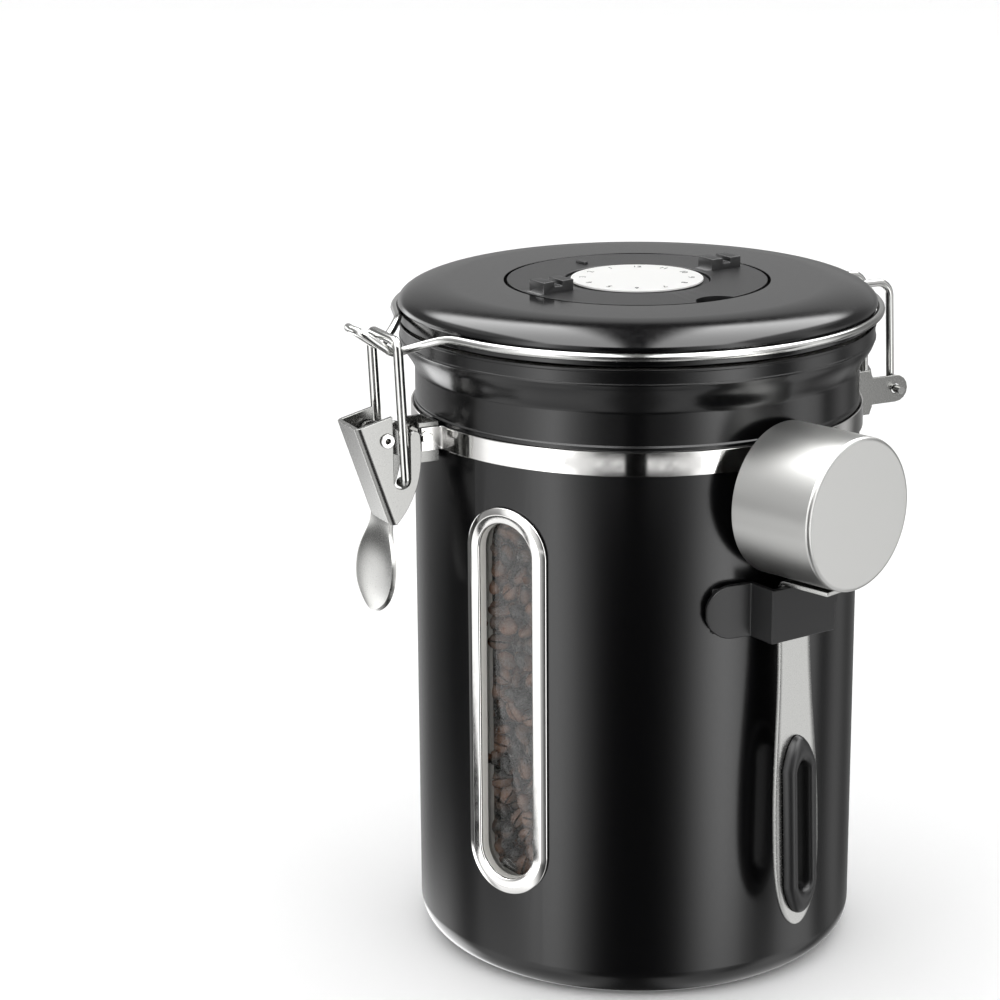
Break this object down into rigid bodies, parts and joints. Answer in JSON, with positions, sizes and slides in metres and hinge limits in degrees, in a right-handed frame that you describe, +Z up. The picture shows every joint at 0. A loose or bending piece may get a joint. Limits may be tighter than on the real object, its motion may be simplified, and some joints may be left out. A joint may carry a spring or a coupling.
{
  "type": "airtight food canister",
  "caption": "Round steel food canister with a clamp-latched hinged lid, date dial, viewing window and a scoop hung on its side.",
  "frame": {"origin": "centre of the flat base on the surface that the canister stands on", "axes": "+Z up along the canister's axis, -Y towards the clamp latch, +Y towards the hinge, +X towards the scoop"},
  "size_m": [0.1568, 0.1665, 0.185],
  "materials": {
    "satin_black": "satin",
    "gloss_black": "gloss",
    "moulded_black": "matte",
    "bright_steel": "polished",
    "satin_steel": "satin",
    "silicone": "matte",
    "foam": "matte",
    "clear_plastic": "gloss",
    "white_plastic": "satin"
  },
  "bodies": {
    "canister": {"canister_shell": "satin_black", "window_bezel": "bright_steel", "window_pane": "clear_plastic", "window_gasket": "silicone", "window_retainer": "moulded_black", "neck_band": "bright_steel", "band_bolt": "bright_steel", "latch_bracket": "satin_steel", "hinge_bracket": "satin_steel", "scoop_holder": "moulded_black", "holder_pad_front": "foam", "holder_pad_back": "foam"},
    "lid": {"lid_shell": "gloss_black", "lid_pan": "moulded_black", "lid_gasket": "silicone", "lid_wire": "bright_steel", "dial_hub": "moulded_black", "date_disc": "white_plastic", "hub_gasket": "silicone", "filter_screen": "satin_steel", "valve_seat": "moulded_black", "valve_nut": "moulded_black"},
    "dial": {"dial_ring": "moulded_black"},
    "valve": {"valve_disc": "silicone"},
    "link": {"latch_link": "bright_steel"},
    "lever": {"latch_lever": "satin_steel", "lever_rivet": "bright_steel"},
    "scoop": {"scoop_cup": "satin_steel", "scoop_handle": "satin_steel", "scoop_grip": "moulded_black"}
  },
  "joints": [
    {"name": "lid_hinge", "type": "hinge", "parent": "canister", "child": "lid", "pos_m": [0, 0.0775, 0.145], "axis": [-1, 0, 0], "range_deg": [0, 100]},
    {"name": "lever_pivot", "type": "hinge", "parent": "canister", "child": "lever", "pos_m": [0, -0.0766, 0.148], "axis": [-1, 0, 0], "range_deg": [0, 140]},
    {"name": "link_swing", "type": "hinge", "parent": "lid", "child": "link", "pos_m": [0, -0.074, 0.174], "axis": [-1, 0, 0], "range_deg": [-20, 0]},
    {"name": "dial_turn", "type": "hinge", "parent": "lid", "child": "dial", "pos_m": [0, 0, 0.182], "axis": [0, 0, 1], "continuous": true},
    {"name": "valve_lift", "type": "slide", "parent": "lid", "child": "valve", "axis": [0, 0, 1], "range_m": [0, 0.0008]},
    {"name": "scoop_lift", "type": "slide", "parent": "canister", "child": "scoop", "axis": [0, 0, 1], "range_m": [0, 0.004]}
  ],
  "couplings": [
    {"joint": "lever_pivot", "follows": "lid_hinge", "ratio": 1.4},
    {"joint": "link_swing", "follows": "lid_hinge", "ratio": -0.2}
  ]
}
